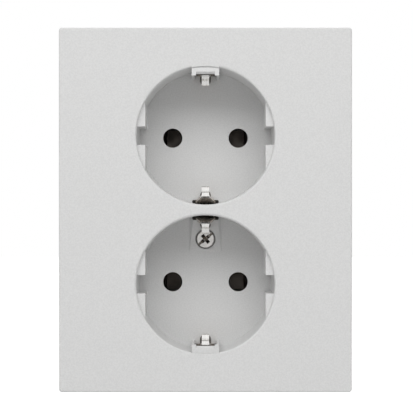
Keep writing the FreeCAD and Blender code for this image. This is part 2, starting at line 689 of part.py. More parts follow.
def earth_bar():
    """The flat bar behind both wells, with a tab bent back to the terminal."""
    bar = block(
        -BAR_HALF_WIDTH, BAR_HALF_WIDTH, BAR_FRONT_Y, FRAME_FRONT_Y,
        -BAR_HALF_LENGTH, BAR_HALF_LENGTH,
    )
    bar = fillet_edges(bar, BAR_END_ROUNDING, runs_along_y)
    outline = [
        (-TAB_NECK_HALF_HEIGHT, BAR_FRONT_Y + BAR_THICKNESS / 2),
        (-TAB_NECK_HALF_HEIGHT, TERMINAL_FRONT),
        (-TAB_HALF_HEIGHT, TERMINAL_FRONT),
        (-TAB_HALF_HEIGHT, CONTACT_BACK),
        (TAB_HALF_HEIGHT, CONTACT_BACK),
        (TAB_HALF_HEIGHT, TERMINAL_FRONT),
        (TAB_NECK_HALF_HEIGHT, TERMINAL_FRONT),
        (TAB_NECK_HALF_HEIGHT, BAR_FRONT_Y + BAR_THICKNESS / 2),
    ]
    tab = prism(outline, "zy", TAB_X, TAB_X + TAB_THICKNESS)
    clamp_plates = [
        block(
            -SPRING_WIDTH / 2, TAB_X + TAB_THICKNESS, TERMINAL_FRONT, CONTACT_BACK,
            *span(side * CLAMP_PLATE_Z, side * (CLAMP_PLATE_Z + TAB_THICKNESS)),
        )
        for side in (-1, 1)
    ]
    bar = fused([bar, tab] + clamp_plates)
    holes = []
    for z in (foot_rivet_z(-1), 0, foot_rivet_z(1)):
        holes.append(rod(0, z, FOOT_RIVET_RADIUS, BAR_FRONT_Y - PAST, PAST))
    for z in (-FRAME_RIVET_Z, FRAME_RIVET_Z):
        holes.append(rod(0, z, RIVET_RADIUS, BAR_FRONT_Y - PAST, PAST))
    shank_room = COVER_SCREW_RADIUS + HOLE_CLEARANCE
    holes.append(rod(0, COVER_SCREW_Z, shank_room, BAR_FRONT_Y - PAST, FRAME_FRONT_Y + PAST))
    return bar.cut(holes)


def pin_contact(hand):
    """The live (hand -1) or neutral (hand 1) contact: one strip with two sockets."""
    inner = hand * (PIN_X - TULIP_GAP / 2 - CONTACT_THICKNESS / 2)
    outer = hand * (PIN_X + TULIP_GAP / 2 + CONTACT_THICKNESS / 2)
    flare_y = TULIP_FRONT + TULIP_FLARE_LENGTH
    back = CONTACT_BACK - CONTACT_THICKNESS / 2
    points = [
        (inner - hand * TULIP_FLARE, TULIP_FRONT), (inner, flare_y), (inner, back),
        (outer, back), (outer, flare_y), (outer + hand * TULIP_FLARE, TULIP_FRONT),
    ]
    half = TULIP_WIDTH / 2
    pieces = []
    for z in (-WELL_Z, WELL_Z):
        pieces.append(
            bent_strip(points, CONTACT_THICKNESS, TULIP_BEND, "xy", z - half, z + half)
        )
    x0, x1 = span(outer - CONTACT_THICKNESS / 2, outer + CONTACT_THICKNESS / 2)
    pieces.append(block(x0, x1, STRIP_FRONT, back - TULIP_BEND, -WELL_Z, WELL_Z))
    for side in (-1, 1):
        x0, x1 = span(hand * (PIN_X - SPRING_WIDTH / 2), outer)
        z0, z1 = span(side * CLAMP_PLATE_Z, side * (CLAMP_PLATE_Z + CONTACT_THICKNESS))
        pieces.append(block(x0, x1, TERMINAL_FRONT, back - TULIP_BEND, z0, z1))
    return fused(pieces)


def clamp_spring(x):
    """The leaf spring of one terminal, which clamps a wire at each end."""
    crest_y = HOUSING_BACK - LEVER_FOOT_LENGTH - SPRING_THICKNESS / 2 - SLIDING_CLEARANCE
    root_y = HOUSING_BACK - SPRING_ROOT_DEPTH
    tip_y = HOUSING_BACK - SPRING_TIP_DEPTH
    points = [
        (-SPRING_TIP_Z, tip_y), (-SPRING_ROOT_Z, root_y),
        (-SPRING_CREST_Z, crest_y), (SPRING_CREST_Z, crest_y),
        (SPRING_ROOT_Z, root_y), (SPRING_TIP_Z, tip_y),
    ]
    half = SPRING_WIDTH / 2 - SLIDING_CLEARANCE
    return bent_strip(points, SPRING_THICKNESS, SPRING_BEND, "zy", x - half, x + half)


def release_lever(x):
    """The push piece that frees the wires of one terminal."""
    foot = HOUSING_BACK - LEVER_FOOT_LENGTH
    end = HOUSING_END_Y + LEVER_STAND_OUT
    stem = block(
        x - LEVER_HALF_WIDTH, x + LEVER_HALF_WIDTH, foot, end,
        -LEVER_HALF_HEIGHT, LEVER_HALF_HEIGHT,
    )
    collar_back = HOUSING_BACK - SEAT_GAP
    collar_half = LEVER_HALF_HEIGHT + LEVER_COLLAR
    collar = block(
        x - LEVER_HALF_WIDTH, x + LEVER_HALF_WIDTH,
        collar_back - LEVER_COLLAR_THICKNESS, collar_back, -collar_half, collar_half,
    )
    grooves = []
    pitch = 2 * LEVER_HALF_HEIGHT / (LEVER_GRIP_GROOVES + 1)
    for i in range(LEVER_GRIP_GROOVES):
        z = -LEVER_HALF_HEIGHT + (i + 1) * pitch
        half = LEVER_GRIP_DEPTH
        grooves.append(prism(
            [(z - half, end + half), (z, end - LEVER_GRIP_DEPTH), (z + half, end + half)],
            "zy", x - LEVER_HALF_WIDTH - PAST, x + LEVER_HALF_WIDTH + PAST,
        ))
    return fused([stem, collar]).cut(grooves)


def housing_outline(y0, y1, spare=0.0):
    """The outline of the insert: a slab that is rounded to fit a flush box."""
    half = HOUSING_HALF_WIDTH + spare
    radius = HOUSING_RADIUS + spare
    slab = block(-half, half, y0, y1, -radius, radius)
    return slab.common(rod(0, 0, radius, y0, y1))


def claw_cheeks(hand):
    """Two ribs on the housing that guide a claw and keep its nut from turning."""
    def ramp_x(y):
        return RAMP_X + (RAMP_Y - y) * RAMP_SLOPE

    back_x = ramp_x(CLAW_FORK_Y + CLAW_THICKNESS)
    outline = [
        (HOUSING_HALF_WIDTH - PAST, CHEEK_FRONT),
        (ramp_x(CHEEK_FRONT), CHEEK_FRONT),
        (back_x, CLAW_FORK_Y + CLAW_THICKNESS),
        (back_x, CHEEK_BACK),
        (HOUSING_HALF_WIDTH - PAST, CHEEK_BACK),
    ]
    outline = [(hand * x, y) for x, y in outline]
    cheeks = []
    for side in (-1, 1):
        z0, z1 = span(side * CHEEK_INNER_Z, side * (CHEEK_INNER_Z + CHEEK_THICKNESS))
        cheeks.append(prism(outline, "xy", z0, z1))
    return cheeks


def housing():
    """The insulating housing that carries every contact."""
    body = housing_outline(HOUSING_FRONT_Y, HOUSING_BACK)
    body = fused([body] + claw_cheeks(-1) + claw_cheeks(1))
    bar_room = BAR_HALF_WIDTH + FIT_CLEARANCE
    cuts = [block(
        -bar_room, bar_room, HOUSING_FRONT_Y - PAST, FRAME_FRONT_Y,
        -HOUSING_RADIUS - PAST, HOUSING_RADIUS + PAST,
    )]
    for hand in (-1, 1):
        x0, x1 = span(hand * CHAMBER_INNER, hand * CHAMBER_OUTER)
        cuts.append(block(
            x0, x1, CHAMBER_FRONT, HOUSING_BACK + PAST,
            -CHAMBER_HALF_HEIGHT, CHAMBER_HALF_HEIGHT,
        ))
        for z in (-WELL_Z, WELL_Z):
            cuts.append(rod(hand * PIN_X, z, GUIDE_HOLE_RADIUS, HOUSING_FRONT_Y - PAST, PAST))
    cuts.append(block(
        -EARTH_CHAMBER_HALF_WIDTH, EARTH_CHAMBER_HALF_WIDTH,
        EARTH_CHAMBER_FRONT, HOUSING_BACK + PAST,
        -EARTH_CHAMBER_HALF_HEIGHT, EARTH_CHAMBER_HALF_HEIGHT,
    ))
    neck = TAB_NECK_HALF_HEIGHT + FIT_CLEARANCE
    cuts.append(block(
        TAB_X - FIT_CLEARANCE, TAB_X + TAB_THICKNESS + FIT_CLEARANCE,
        HOUSING_FRONT_Y, EARTH_CHAMBER_FRONT + PAST, -neck, neck,
    ))
    cuts.append(rod(0, COVER_SCREW_Z, NUT_SLEEVE_RADIUS, HOUSING_FRONT_Y, nut_back_y()))
    rivet_room = FOOT_RIVET_HEAD_RADIUS + HOLE_CLEARANCE
    rivet_depth = FRAME_FRONT_Y + RIVET_HEAD_HEIGHT + HOLE_CLEARANCE
    cuts.append(rod(0, 0, rivet_room, HOUSING_FRONT_Y, rivet_depth))
    for z in (-REAR_SCREW_Z, REAR_SCREW_Z):
        cuts.append(rod(0, z, REAR_SCREW_RADIUS + SEAT_GAP, rear_screw_tip(), HOUSING_BACK + PAST))
    return body.cut(cuts)


def housing_pieces():
    """The housing's moulding as the plate with the pin guides and the block behind it."""
    whole = housing()
    half_x = RAMP_X + CHEEK_BACK
    half_z = HOUSING_RADIUS + PAST
    front = block(-half_x, half_x, HOUSING_FRONT_Y - PAST, CHAMBER_FRONT, -half_z, half_z)
    return {"housing_front": whole.common(front), "base_housing": whole.cut(front)}


def nut_back_y():
    """Y of the brass nut's back end."""
    return FRAME_FRONT_Y + NUT_SLEEVE_LENGTH


def rear_screw_tip():
    """Y of the rear screws' front end."""
    return HOUSING_END_Y - REAR_SCREW_LENGTH


def rear_cover():
    """The plate that closes the housing, with wire holes and lever windows."""
    plate = housing_outline(HOUSING_BACK, HOUSING_END_Y)
    cuts = []
    for x in (-PIN_X, 0, PIN_X):
        for z in (-WIRE_Z, WIRE_Z):
            cuts.append(rod(x, z, WIRE_HOLE_RADIUS, HOUSING_BACK - PAST, HOUSING_END_Y + PAST))
            cuts.append(Part.makeCone(
                WIRE_HOLE_RADIUS, WIRE_HOLE_RADIUS + WIRE_HOLE_FUNNEL, WIRE_HOLE_FUNNEL,
                V(x, HOUSING_END_Y - WIRE_HOLE_FUNNEL, z), V(0, 1, 0),
            ))
        half_x = LEVER_HALF_WIDTH + SLIDING_CLEARANCE
        half_z = LEVER_HALF_HEIGHT + SLIDING_CLEARANCE
        cuts.append(block(
            x - half_x, x + half_x, HOUSING_BACK - PAST, HOUSING_END_Y + PAST, -half_z, half_z,
        ))
    for z in (-REAR_SCREW_Z, REAR_SCREW_Z):
        cuts.append(rod(0, z, REAR_SCREW_RADIUS + HOLE_CLEARANCE, HOUSING_BACK - PAST, HOUSING_END_Y))
        head_room = REAR_SCREW_HEAD_RADIUS + HOLE_CLEARANCE
        seat = HOUSING_END_Y - REAR_SCREW_HEAD_HEIGHT
        cuts.append(rod(0, z, head_room, seat, HOUSING_END_Y + PAST))
    return plate.cut(cuts)


def rear_screws():
    """The two screws that hold the rear cover on the housing."""
    screws = []
    seat = HOUSING_END_Y - REAR_SCREW_HEAD_HEIGHT
    for z in (-REAR_SCREW_Z, REAR_SCREW_Z):
        screw = fused([
            rod(0, z, REAR_SCREW_RADIUS, rear_screw_tip(), seat + SEAT_GAP),
            rod(0, z, REAR_SCREW_HEAD_RADIUS, seat, HOUSING_END_Y),
        ])
        screws.append(screw.cut(cross_recess(z, HOUSING_END_Y, -1)))
    return Part.makeCompound(screws)


def cross_recess(z, face, into):
    """A cross in a screw's head, shorter at its bottom; into is the sign of Y into it."""
    mouth = CROSS_LENGTH / 2
    bottom = mouth - CROSS_TAPER
    half = CROSS_WIDTH / 2
    outline = [
        (-mouth, face - into * PAST), (mouth, face - into * PAST), (mouth, face),
        (bottom, face + into * CROSS_DEPTH), (-bottom, face + into * CROSS_DEPTH),
        (-mouth, face),
    ]
    return fused([
        prism(outline, "xy", z - half, z + half),
        prism([(z + along, y) for along, y in outline], "zy", -half, half),
    ])


def cover_screw():
    """The screw in the bottom well that holds the cover on the insert."""
    front = COVER_SCREW_SEAT_Y - COVER_SCREW_HEAD_HEIGHT
    head = rod(0, COVER_SCREW_Z, COVER_SCREW_HEAD_RADIUS, front, COVER_SCREW_SEAT_Y)
    head = fillet_edges(head, HEAD_ROUNDING, lies_at_y(front))
    end = nut_back_y() - COVER_SCREW_END_GAP
    screw = fused([head, rod(0, COVER_SCREW_Z, COVER_SCREW_RADIUS, front, end)])
    slot_half = SCREW_SLOT_WIDTH / 2
    far = COVER_SCREW_HEAD_RADIUS + PAST
    slot = block(
        -far, far, front - PAST, front + SCREW_SLOT_DEPTH,
        COVER_SCREW_Z - slot_half, COVER_SCREW_Z + slot_half,
    )
    recess = fused([slot, cross_recess(COVER_SCREW_Z, front, 1)])
    recess.rotate(V(0, 0, COVER_SCREW_Z), V(0, 1, 0), -COVER_SCREW_SLOT_ANGLE)
    return screw.cut(recess)


def cover_nut():
    """The brass sleeve nut in the housing that takes the cover screw."""
    sleeve = rod(0, COVER_SCREW_Z, NUT_SLEEVE_RADIUS, FRAME_FRONT_Y, nut_back_y())
    thread = rod(
        0, COVER_SCREW_Z, COVER_SCREW_RADIUS + RUNNING_CLEARANCE,
        FRAME_FRONT_Y - PAST, nut_back_y() + PAST,
    )
    return sleeve.cut(thread)


def support_frame():
    """The steel plate that is screwed to the flush box."""
    plate = rounded_plate(FRAME_HALF_WIDTH, FRAME_HALF_HEIGHT, FRAME_CORNER, FRAME_FRONT_Y, 0)
    front, back = FRAME_FRONT_Y - PAST, PAST
    cuts = [housing_outline(front, back, FIT_CLEARANCE)]
    for hand in (-1, 1):
        cuts.append(rod(hand * BOX_SCREW_SPACING / 2, 0, BOX_SCREW_HOLE_RADIUS, front, back))
        shank_room = CLAW_SCREW_RADIUS + HOLE_CLEARANCE
        cuts.append(rod(hand * CLAW_SCREW_X, 0, shank_room, front, back))
        cuts.append(rod(0, hand * FRAME_RIVET_Z, RIVET_RADIUS, front, back))
    cuts += [tangent_slot(angle, front, back) for angle in BOX_SLOT_ANGLES]
    return plate.cut(cuts)


def tangent_slot(angle, front, back):
    """A slot on the box screws' circle, along the circle."""
    radius = BOX_SCREW_SPACING / 2
    half = BOX_SLOT_LENGTH / 2 - BOX_SCREW_HOLE_RADIUS
    slot = fused([
        block(
            radius - BOX_SCREW_HOLE_RADIUS, radius + BOX_SCREW_HOLE_RADIUS,
            front, back, -half, half,
        ),
        rod(radius, -half, BOX_SCREW_HOLE_RADIUS, front, back),
        rod(radius, half, BOX_SCREW_HOLE_RADIUS, front, back),
    ])
    slot.rotate(V(0, 0, 0), V(0, 1, 0), -angle)
    return slot


def claw_screw(hand):
    """A claw screw: head in front of the frame, collar behind it."""
    x = hand * CLAW_SCREW_X
    seat = FRAME_FRONT_Y - SEAT_GAP
    front = seat - CLAW_SCREW_HEAD_HEIGHT
    head = rod(x, 0, CLAW_SCREW_HEAD_RADIUS, front, seat)
    head = fillet_edges(head, HEAD_ROUNDING, lies_at_y(front))
    collar = rod(x, 0, CLAW_SCREW_COLLAR_RADIUS, SEAT_GAP, SEAT_GAP + CLAW_SCREW_COLLAR_THICKNESS)
    screw = fused([head, collar, rod(x, 0, CLAW_SCREW_RADIUS, front, CLAW_SCREW_END)])
    slot_half = SCREW_SLOT_WIDTH / 2
    far = CLAW_SCREW_HEAD_RADIUS + PAST
    slot = block(
        x - far, x + far, front - PAST, front + SCREW_SLOT_DEPTH, -slot_half, slot_half,
    )
    return screw.cut(slot)


def claw_nut(hand):
    """The square nut that a claw screw draws forward between the cheeks."""
    x = hand * CLAW_SCREW_X
    half = CLAW_NUT_SIZE / 2
    front = CLAW_FORK_Y + CLAW_THICKNESS + SEAT_GAP
    nut = block(x - half, x + half, front, front + CLAW_NUT_THICKNESS, -half, half)
    return nut.cut(rod(x, 0, CLAW_SCREW_RADIUS + RUNNING_CLEARANCE, front - PAST, CHEEK_BACK))


def claw(hand):
    """A spreading claw: a fork in front of the nut and a toothed slanted leg."""
    lean = CLAW_THICKNESS / math.cos(math.radians(CLAW_ANGLE))
    gap = SLIDING_CLEARANCE / math.cos(math.radians(CLAW_ANGLE))

    def leg_x(y):
        return RAMP_X + gap + (RAMP_Y - y) * RAMP_SLOPE

    back = CLAW_FORK_Y + CLAW_THICKNESS
    leg = [
        (leg_x(back), back), (leg_x(CLAW_TIP_Y), CLAW_TIP_Y),
        (leg_x(CLAW_TIP_Y) + lean, CLAW_TIP_Y), (leg_x(back) + lean, back),
    ]
    leg = prism([(hand * x, y) for x, y in leg], "xy", -CLAW_HALF_WIDTH, CLAW_HALF_WIDTH)
    outer_x = leg_x(CLAW_TIP_Y) + lean
    pitch = 2 * CLAW_HALF_WIDTH / CLAW_TOOTH_COUNT
    teeth = []
    for i in range(CLAW_TOOTH_COUNT):
        z = -CLAW_HALF_WIDTH + (i + 0.5) * pitch
        root_x = outer_x - lean
        tooth = [(root_x, z - pitch / 2), (outer_x + CLAW_TOOTH, z), (root_x, z + pitch / 2)]
        teeth.append(prism(
            [(hand * tx, tz) for tx, tz in tooth], "xz", CLAW_TIP_Y, CLAW_TIP_Y + CLAW_THICKNESS,
        ))
    fork_half = CLAW_NUT_SIZE / 2
    inner = HOUSING_HALF_WIDTH + SLIDING_CLEARANCE
    x0, x1 = span(hand * inner, hand * (leg_x(back) + lean / 2))
    fork = block(x0, x1, CLAW_FORK_Y, back, -fork_half, fork_half)
    slot_half = CLAW_SCREW_RADIUS + SLIDING_CLEARANCE
    x0, x1 = span(hand * (inner - PAST), hand * CLAW_SCREW_X)
    slot = block(x0, x1, CLAW_FORK_Y - PAST, back + PAST, -slot_half, slot_half)
    slot_end = rod(hand * CLAW_SCREW_X, 0, slot_half, CLAW_FORK_Y - PAST, back + PAST)
    return fused([leg, fork] + teeth).cut([slot, slot_end])


def nodes():
    """Every separate piece, by name."""
    pieces = cover_pieces() | housing_pieces()
    pieces |= {
        "rear_cover": rear_cover(),
        "rear_cover_screws": rear_screws(),
        "support_frame": support_frame(),
        "frame_rivets": frame_rivets(),
        "earth_bar": earth_bar(),
        "earth_contact_top": outer_earth_contact(1),
        "earth_contact_middle": middle_earth_contact(),
        "earth_contact_bottom": outer_earth_contact(-1),
        "earth_contact_rivets": foot_rivets(),
        "live_contact": pin_contact(-1),
        "neutral_contact": pin_contact(1),
        "cover_screw": cover_screw(),
        "cover_nut": cover_nut(),
    }
    for name, x in (("live", -PIN_X), ("earth", 0), ("neutral", PIN_X)):
        pieces[name + "_clamp_spring"] = clamp_spring(x)
        pieces[name + "_release_lever"] = release_lever(x)
    for name, hand in (("left", -1), ("right", 1)):
        pieces["claw_screw_" + name] = claw_screw(hand)
        pieces["claw_nut_" + name] = claw_nut(hand)
        pieces["claw_" + name] = claw(hand)
    return pieces


def main():
    os.makedirs("parts", exist_ok=True)
    for name, shape in nodes().items():
        shape.exportStep("parts/" + name + ".step")
        print(name, len(shape.Solids), shape.isValid(), round(shape.Volume, 1))


main()
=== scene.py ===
import json
import math

import bpy
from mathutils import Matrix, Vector

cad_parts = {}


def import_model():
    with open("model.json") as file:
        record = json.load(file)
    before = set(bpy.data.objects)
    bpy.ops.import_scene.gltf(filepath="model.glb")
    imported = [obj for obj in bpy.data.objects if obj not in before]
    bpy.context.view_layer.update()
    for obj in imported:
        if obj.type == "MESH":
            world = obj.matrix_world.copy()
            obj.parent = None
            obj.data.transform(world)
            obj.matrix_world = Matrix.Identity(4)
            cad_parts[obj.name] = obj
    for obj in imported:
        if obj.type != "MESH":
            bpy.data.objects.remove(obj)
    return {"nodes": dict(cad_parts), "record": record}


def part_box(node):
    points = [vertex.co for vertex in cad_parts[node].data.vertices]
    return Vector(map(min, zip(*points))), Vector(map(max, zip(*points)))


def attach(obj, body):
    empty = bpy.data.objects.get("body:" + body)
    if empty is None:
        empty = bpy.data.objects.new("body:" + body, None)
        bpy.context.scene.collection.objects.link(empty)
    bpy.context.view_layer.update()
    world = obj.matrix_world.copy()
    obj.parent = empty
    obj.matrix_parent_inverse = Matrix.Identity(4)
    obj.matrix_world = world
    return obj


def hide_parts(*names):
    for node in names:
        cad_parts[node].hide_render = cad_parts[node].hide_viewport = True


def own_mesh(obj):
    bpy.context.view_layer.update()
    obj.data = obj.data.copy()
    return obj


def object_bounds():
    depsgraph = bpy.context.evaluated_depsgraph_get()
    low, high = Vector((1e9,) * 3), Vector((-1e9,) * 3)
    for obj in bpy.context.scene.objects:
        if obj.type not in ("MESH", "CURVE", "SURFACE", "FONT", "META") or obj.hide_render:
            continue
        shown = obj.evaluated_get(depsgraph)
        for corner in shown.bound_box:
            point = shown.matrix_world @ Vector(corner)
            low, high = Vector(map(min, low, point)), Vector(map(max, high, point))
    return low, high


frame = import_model()
cad_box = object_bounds()

# The photograph's view, level and straight on. Lengths are in metres, the sensor in millimetres
# and the picture in pixels. The field is the width in view at the plate's face.
IMAGE_SIZE = 413
CENTRE_PX = (205.45, 209.95)
CAMERA_DISTANCE = 0.460
FIELD_AT_FACE = 0.11546
SENSOR = 36.0
CLIP_NEAR = 0.01
CLIP_FAR = 20.0

# Light: power in watts, each panel's size and place in metres
AMBIENT = 0.38
KEY_POWER = 4.4
KEY_SIZE = (1.15, 0.40)
KEY_PLACE = (-0.04, -0.54, 0.46)
FILL_POWER = 2.75
FILL_SIZE = (1.15, 0.40)
FILL_PLACE = (0.0, -0.56, -0.40)
BACK_POWER = 4.5
BACK_SIZE = (0.9, 0.9)
BACK_PLACE = (0.35, 0.85, 0.55)

# Floor: how far below the object, its reach, and the glow that makes it white further out
FLOOR_DROP = 0.050
FLOOR_HALF = 3.0
FLOOR_COLOUR = 0.76
FLOOR_GLOW_NEAR = 0.48
FLOOR_GLOW_FAR = 1.0
FLOOR_GLOW_START = 0.15
FLOOR_GLOW_END = 0.55

# Threads on the claw screws' shanks: half a ridge's width is a share of the pitch
THREAD_RADIUS = 0.0020
THREAD_PITCH = 0.0007
THREAD_DEPTH = 0.00032
THREAD_HALF_SHARE = 0.32
THREAD_START_Y = 0.0013
THREAD_END_GAP = 0.0001
THREAD_STEPS = 18

# Depths behind the plate's face between which the fingers turn from bright nickel to a dull brown,
# painted shade for the dark well mirrored in the legs
LEG_BRIGHT_DEPTH = 0.0054
LEG_DULL_DEPTH = 0.0060

# Depths behind the front of the cover screw between which painted shade in the head's recess sets
# in, and ends at the shank
RECESS_SHADE_START_DEPTH = 0.00015
RECESS_SHADE_FULL_DEPTH = 0.00070
RECESS_SHADE_FADE_DEPTH = 0.0022
RECESS_SHADE_END_DEPTH = 0.0024

face_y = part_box("cover_face")[0][1]
screw_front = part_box("cover_screw")[0][1]


class Shader:
    """A node material with a Principled shader and a few short helpers."""

    def __init__(self, name, colour, roughness, metallic=0.0, specular=0.5):
        self.material = bpy.data.materials.new(name)
        self.material.use_nodes = True
        self.tree = self.material.node_tree
        self.bsdf = self.tree.nodes["Principled BSDF"]
        self.colour = colour
        self.bsdf.inputs["Base Color"].default_value = (*colour, 1)
        self.bsdf.inputs["Roughness"].default_value = roughness
        self.bsdf.inputs["Metallic"].default_value = metallic
        self.bsdf.inputs["Specular IOR Level"].default_value = specular
        coordinates = self.node("ShaderNodeTexCoord")
        self.place = coordinates.outputs["Object"]

    def node(self, kind, **settings):
        """A new node with its settings."""
        made = self.tree.nodes.new(kind)
        for key, value in settings.items():
            setattr(made, key, value)
        return made

    def link(self, source, target):
        """A link from an output to an input."""
        self.tree.links.new(source, target)

    def stretched(self, scale):
        """Object coordinates, scaled along each axis."""
        mapping = self.node("ShaderNodeMapping")
        mapping.inputs["Scale"].default_value = scale
        self.link(self.place, mapping.inputs["Vector"])
        return mapping.outputs["Vector"]

    def depth(self):
        """Object Y, from the front to the back."""
        split = self.node("ShaderNodeSeparateXYZ")
        self.link(self.place, split.inputs[0])
        return split.outputs["Y"]

    def noise(self, scale, detail=2.0, stretch=None):
        """A noise value between 0 and 1; scale is in features a metre."""
        texture = self.node("ShaderNodeTexNoise")
        texture.inputs["Scale"].default_value = scale
        texture.inputs["Detail"].default_value = detail
        source = self.place if stretch is None else self.stretched(stretch)
        self.link(source, texture.inputs["Vector"])
        return texture.outputs["Fac"]

    def cells(self, scale):
        """Distance to the nearest grain centre."""
        texture = self.node("ShaderNodeTexVoronoi")
        texture.inputs["Scale"].default_value = scale
        self.link(self.place, texture.inputs["Vector"])
        return texture.outputs["Distance"]

    def between(self, value, low, high, start=0.0, end=1.0):
        """The value, mapped from start..end to low..high."""
        ranged = self.node("ShaderNodeMapRange")
        ranged.inputs["From Min"].default_value = start
        ranged.inputs["From Max"].default_value = end
        ranged.inputs["To Min"].default_value = low
        ranged.inputs["To Max"].default_value = high
        self.link(value, ranged.inputs["Value"])
        return ranged.outputs["Result"]

    def shades(self, value, low, high, start=0.3, end=0.7):
        """A colour between two, picked by value."""
        ramp = self.node("ShaderNodeValToRGB")
        ramp.color_ramp.elements[0].position = start
        ramp.color_ramp.elements[1].position = end
        ramp.color_ramp.elements[0].color = (*low, 1)
        ramp.color_ramp.elements[1].color = (*high, 1)
        self.link(value, ramp.inputs["Fac"])
        return ramp.outputs["Color"]

    def tint(self, value, dark, light, start=0.3, end=0.7):
        """Base colour between two shades of itself."""
        low = [c * dark for c in self.colour]
        high = [min(c * light, 1) for c in self.colour]
        self.link(self.shades(value, low, high, start, end), self.bsdf.inputs["Base Color"])

    def product(self, first, second):
        """Two values, multiplied."""
        made = self.node("ShaderNodeMath", operation="MULTIPLY")
        self.link(first, made.inputs[0])
        self.link(second, made.inputs[1])
        return made.outputs[0]

    def stain(self, mask, colour):
        """Colour over the base colour where mask is 1. Base Color has to be linked already."""
        base = self.bsdf.inputs["Base Color"]
        factor_in, first_colour_in, second_colour_in, colour_out = 0, 6, 7, 2
        mix = self.node("ShaderNodeMix", data_type="RGBA")
        self.link(mask, mix.inputs[factor_in])
        self.link(base.links[0].from_socket, mix.inputs[first_colour_in])
        self.link(colour, mix.inputs[second_colour_in])
        self.link(mix.outputs[colour_out], base)

    def vary_roughness(self, value, low, high):
        """Roughness between two levels, picked by value."""
        self.link(self.between(value, low, high, 0.3, 0.7), self.bsdf.inputs["Roughness"])

    def bump(self, *layers):
        """Bump from (value, strength, depth in metres) layers, one on the other."""
        normal = None
        for value, strength, depth in layers:
            bump = self.node("ShaderNodeBump")
            bump.inputs["Strength"].default_value = strength
            bump.inputs["Distance"].default_value = depth
            self.link(value, bump.inputs["Height"])
            if normal is not None:
                self.link(normal, bump.inputs["Normal"])
            normal = bump.outputs["Normal"]
        self.link(normal, self.bsdf.inputs["Normal"])


def cover_plastic():
    """Light grey thermoplastic with a fine eroded grain."""
    shader = Shader("cover_plastic", (0.66, 0.66, 0.656), 0.52, specular=0.35)
    grain = shader.noise(2600, 3)
    shader.tint(grain, 0.955, 1.03, 0.36, 0.64)
    shader.vary_roughness(shader.noise(700, 2), 0.46, 0.60)
    shader.bump((grain, 0.35, 2.5e-5), (shader.cells(3400), 0.18, 1.5e-5))
    return shader.material


def moulded_plastic(name, colour, roughness, flow):
    """Plain moulded plastic with a faint flow pattern."""
    shader = Shader(name, colour, roughness, specular=0.45)
    shader.tint(shader.noise(160, 3, flow), 0.90, 1.10)
    shader.vary_roughness(shader.noise(900, 2), roughness - 0.07, roughness + 0.08)
    shader.bump((shader.noise(1800, 3), 0.25, 2.0e-5), (shader.noise(220, 1), 0.10, 6.0e-5))
    return shader.material


def zinc_steel():
    """Bright zinc plate over rolled steel."""
    shader = Shader("zinc_steel", (0.60, 0.615, 0.63), 0.30, metallic=1.0)
    shader.tint(shader.noise(420, 4), 0.86, 1.08)
    shader.vary_roughness(shader.noise(260, 3), 0.24, 0.42)
    rolled = shader.noise(900, 2, (1.0, 1.0, 0.04))
    shader.bump((rolled, 0.18, 1.5e-5), (shader.noise(2400, 2), 0.12, 1.0e-5))
    return shader.material


def nickel(name, colour, draw):
    """Bright nickel plate with fine marks, stretched along the axes where draw is small."""
    shader = Shader(name, colour, 0.22, metallic=1.0)
    marks = shader.noise(2600, 2, draw)
    shader.tint(marks, 0.90, 1.05)
    shader.vary_roughness(marks, 0.16, 0.30)
    shader.bump((marks, 0.12, 8.0e-6))
    return shader


def nickel_strip():
    """Nickel-plated strip: bright at the front, and a dull brown on the legs, painted shade for the
    dark well that they mirror.
    """
    shader = nickel("nickel_strip", (0.86, 0.85, 0.83), (1.0, 0.05, 0.05))
    bright_y, dull_y = face_y + LEG_BRIGHT_DEPTH, face_y + LEG_DULL_DEPTH
    leg = shader.between(shader.depth(), 0, 1, bright_y, dull_y)
    # Painted shade: a dull brown on the legs in place of the dark well mirrored in them.
    leg_painted_shade = shader.shades(shader.noise(1700, 3), (0.46, 0.40, 0.34), (0.66, 0.585, 0.515))
    shader.stain(leg, leg_painted_shade)
    shader.link(shader.between(leg, 1.0, 0.15), shader.bsdf.inputs["Metallic"])
    return shader.material


def nickel_screw():
    """Turned nickel plate, with painted shade in the recess of the cover screw's head."""
    shader = nickel("nickel_screw", (0.66, 0.645, 0.625), (0.3, 1.0, 0.3))
    depth = shader.depth()
    start_y, full_y = screw_front + RECESS_SHADE_START_DEPTH, screw_front + RECESS_SHADE_FULL_DEPTH
    fade_y, end_y = screw_front + RECESS_SHADE_FADE_DEPTH, screw_front + RECESS_SHADE_END_DEPTH
    inside = shader.between(depth, 0, 1, start_y, full_y)
    above_shank = shader.between(depth, 1, 0, fade_y, end_y)
    patches = shader.between(shader.noise(1500, 3), 0.7, 1.0, 0.3, 0.6)
    mask = shader.product(shader.product(inside, above_shank), patches)
    # Painted shade: a dark colour laid into the recess of the screw head, where shade falls.
    recess_painted_shade = shader.shades(shader.noise(900, 2), (0.030, 0.025, 0.020), (0.105, 0.085, 0.065))
    shader.stain(mask, recess_painted_shade)
    return shader.material


def spring_steel():
    """Bare hardened strip, slightly blued."""
    shader = Shader("spring_steel", (0.40, 0.41, 0.435), 0.33, metallic=1.0)
    shader.tint(shader.noise(500, 3), 0.85, 1.12)
    marks = shader.noise(1800, 2, (1.0, 0.05, 1.0))
    shader.vary_roughness(marks, 0.27, 0.42)
    shader.bump((marks, 0.15, 1.0e-5))
    return shader.material


def rolled_metal(name, colour, roughness):
    """Rolled strip with a light tarnish and rolling marks along Z."""
    shader = Shader(name, colour, roughness, metallic=1.0)
    shader.tint(shader.noise(240, 4), 0.80, 1.05)
    shader.vary_roughness(shader.noise(380, 3), roughness - 0.06, roughness + 0.14)
    shader.bump((shader.noise(1500, 2, (1.0, 1.0, 0.05)), 0.15, 1.2e-5))
    return shader.material


